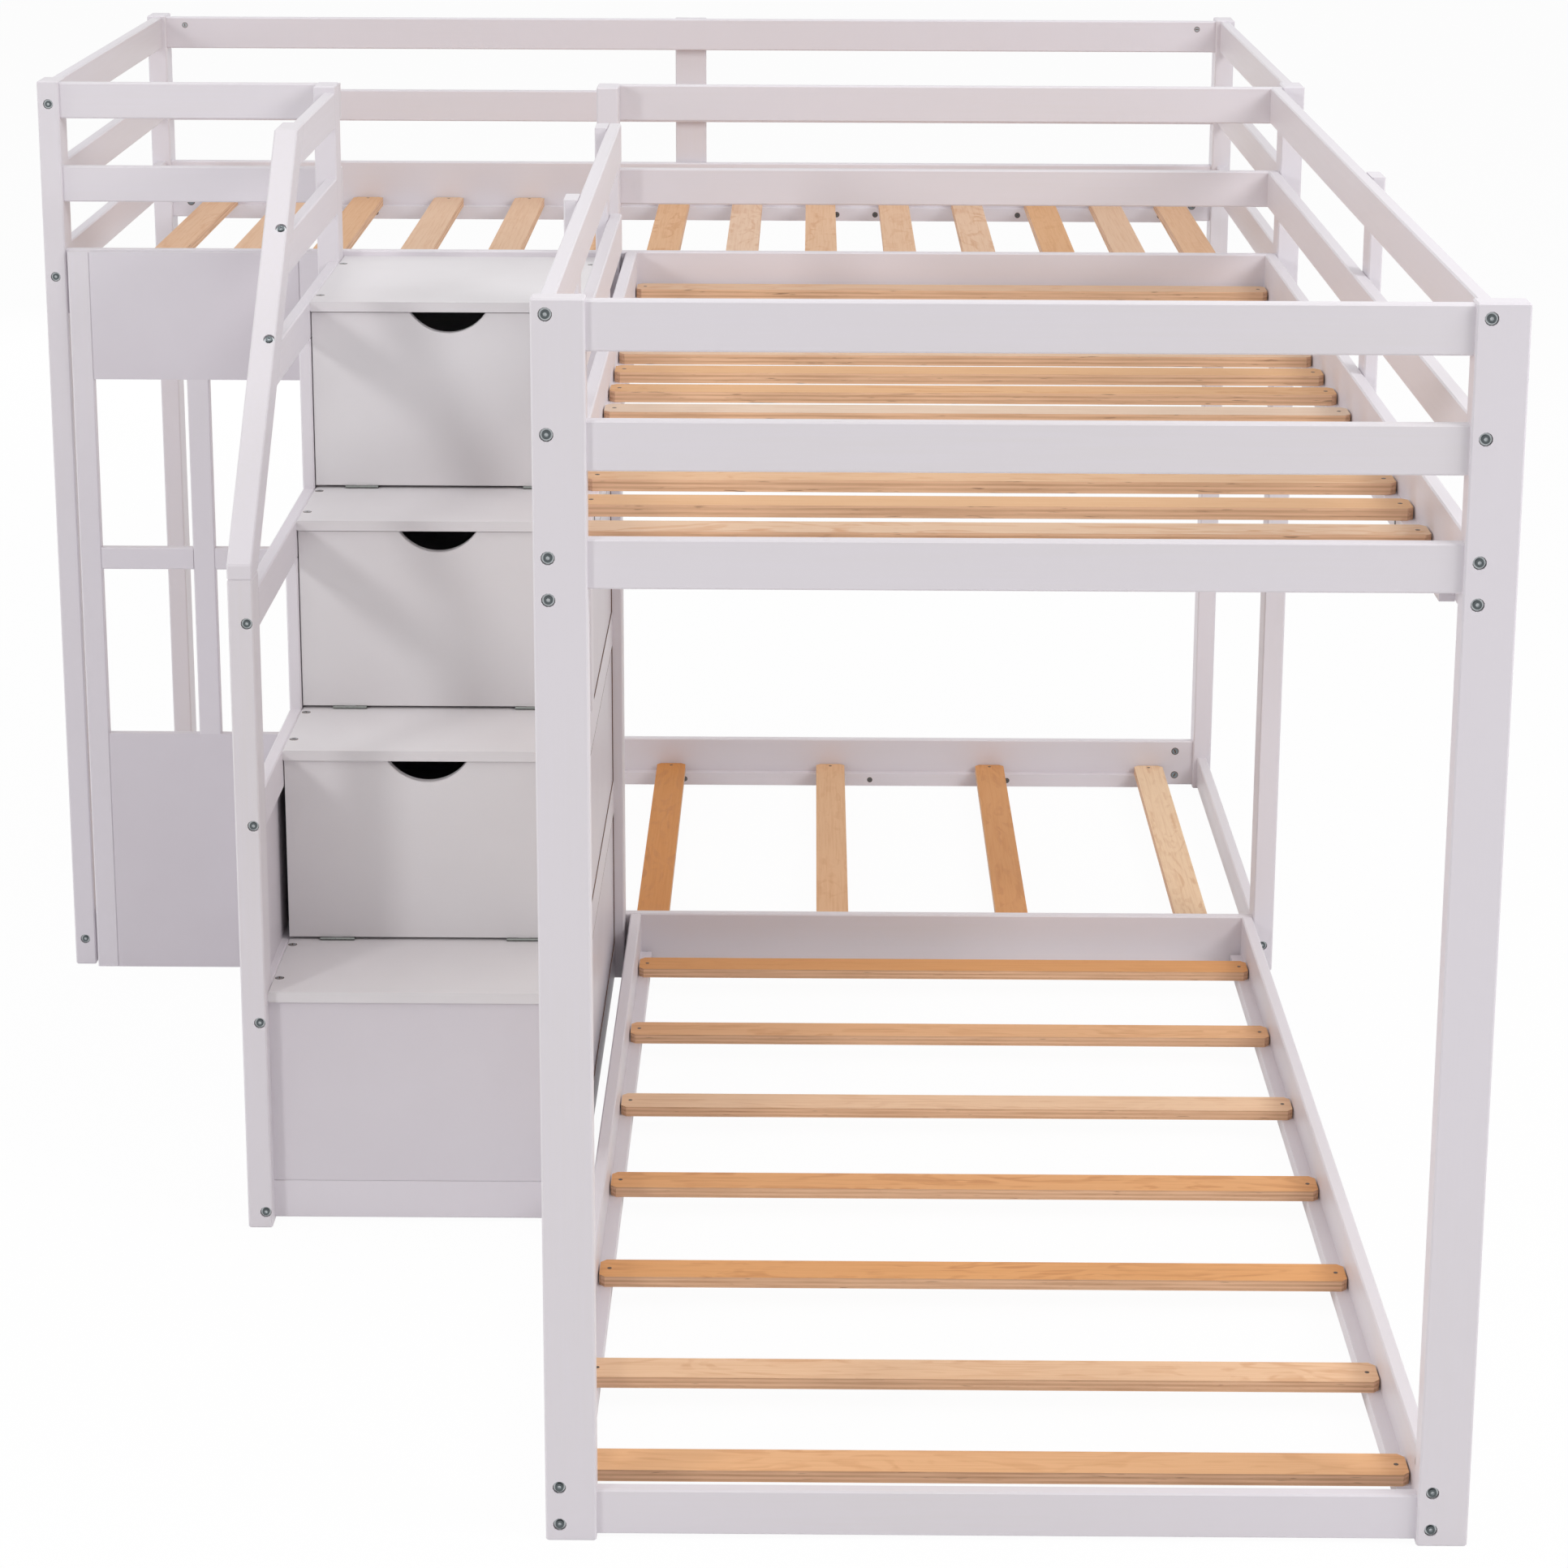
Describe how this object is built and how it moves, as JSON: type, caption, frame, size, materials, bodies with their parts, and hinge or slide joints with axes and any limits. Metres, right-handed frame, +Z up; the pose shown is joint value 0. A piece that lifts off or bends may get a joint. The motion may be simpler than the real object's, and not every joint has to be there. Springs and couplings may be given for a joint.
{
  "type": "l-shaped bunk bed",
  "caption": "White painted L-shaped bunk bed with slatted upper and lower decks, guard rails, a window screen and a storage staircase with drop-flap compartments.",
  "frame": {"origin": "on the floor, at the middle of the overall box", "axes": "+X to the right along the back bed, +Y to the rear, away from the wing's front end, +Z up"},
  "size_m": [2.02, 3.06, 1.49],
  "materials": {
    "white_wood": "satin paint on pine",
    "white_board": "smooth paint on board",
    "slat_ply": "bare plywood",
    "zinc": "zinc plated"
  },
  "bodies": {
    "bed": {"back_cleats": "white_wood", "back_deck_slats": "slat_ply", "back_floor_slats": "slat_ply", "back_front_deck_rail": "white_wood", "back_front_floor_rail": "white_wood", "back_front_left_post": "white_wood", "back_front_right_post": "white_wood", "back_left_end_rails": "white_wood", "back_rear_deck_rail": "white_wood", "back_rear_floor_rail": "white_wood", "back_rear_guard_rails": "white_wood", "back_rear_left_post": "white_wood", "back_rear_right_post": "white_wood", "back_rear_stile": "white_wood", "back_right_end_rails": "white_wood", "bottom_tread": "white_board", "entry_guard_rails": "white_wood", "fixed_hinge_leaves": "zinc", "frame_bolts": "zinc", "hinge_pins": "zinc", "junction_guard_rails": "white_wood", "kick_rail": "white_wood", "lower_tread": "white_board", "riser_panel": "white_board", "stair_back_panel": "white_board", "stair_carcass_sides": "white_board", "stair_handrails": "white_wood", "stair_left_panels": "white_board", "stair_left_post": "white_wood", "stair_left_rails": "white_wood", "stair_left_stiles": "white_wood", "stair_newel": "white_wood", "stair_right_panels": "white_board", "stair_right_post": "white_wood", "stair_right_rails": "white_wood", "stair_right_stiles": "white_wood", "stair_slanted_stile": "white_wood", "top_tread": "white_board", "upper_tread": "white_board", "window_bars": "white_wood", "window_panels": "white_board", "window_stiles": "white_wood", "wing_cleats": "white_wood", "wing_deck_side_rails": "white_wood", "wing_deck_slats": "slat_ply", "wing_end_rails": "white_wood", "wing_floor_side_rails": "white_wood", "wing_floor_slats": "slat_ply", "wing_guard_stiles": "white_wood", "wing_left_guard_rails": "white_wood", "wing_left_post": "white_wood", "wing_right_guard_rails": "white_wood", "wing_right_post": "white_wood"},
    "lower_flap": {"lower_flap": "white_board", "lower_flap_leaves": "zinc"},
    "middle_flap": {"middle_flap": "white_board", "middle_flap_leaves": "zinc"},
    "upper_flap": {"upper_flap": "white_board", "upper_flap_leaves": "zinc"}
  },
  "joints": [
    {"name": "upper_flap_hinge", "type": "hinge", "parent": "bed", "child": "upper_flap", "pos_m": [-0.321, 0.0268, 0.9242], "axis": [1, 0, 0], "range_deg": [0, 90]},
    {"name": "middle_flap_hinge", "type": "hinge", "parent": "bed", "child": "middle_flap", "pos_m": [-0.321, -0.1862, 0.6362], "axis": [1, 0, 0], "range_deg": [0, 90]},
    {"name": "lower_flap_hinge", "type": "hinge", "parent": "bed", "child": "lower_flap", "pos_m": [-0.321, -0.3992, 0.3482], "axis": [1, 0, 0], "range_deg": [0, 90]}
  ]
}
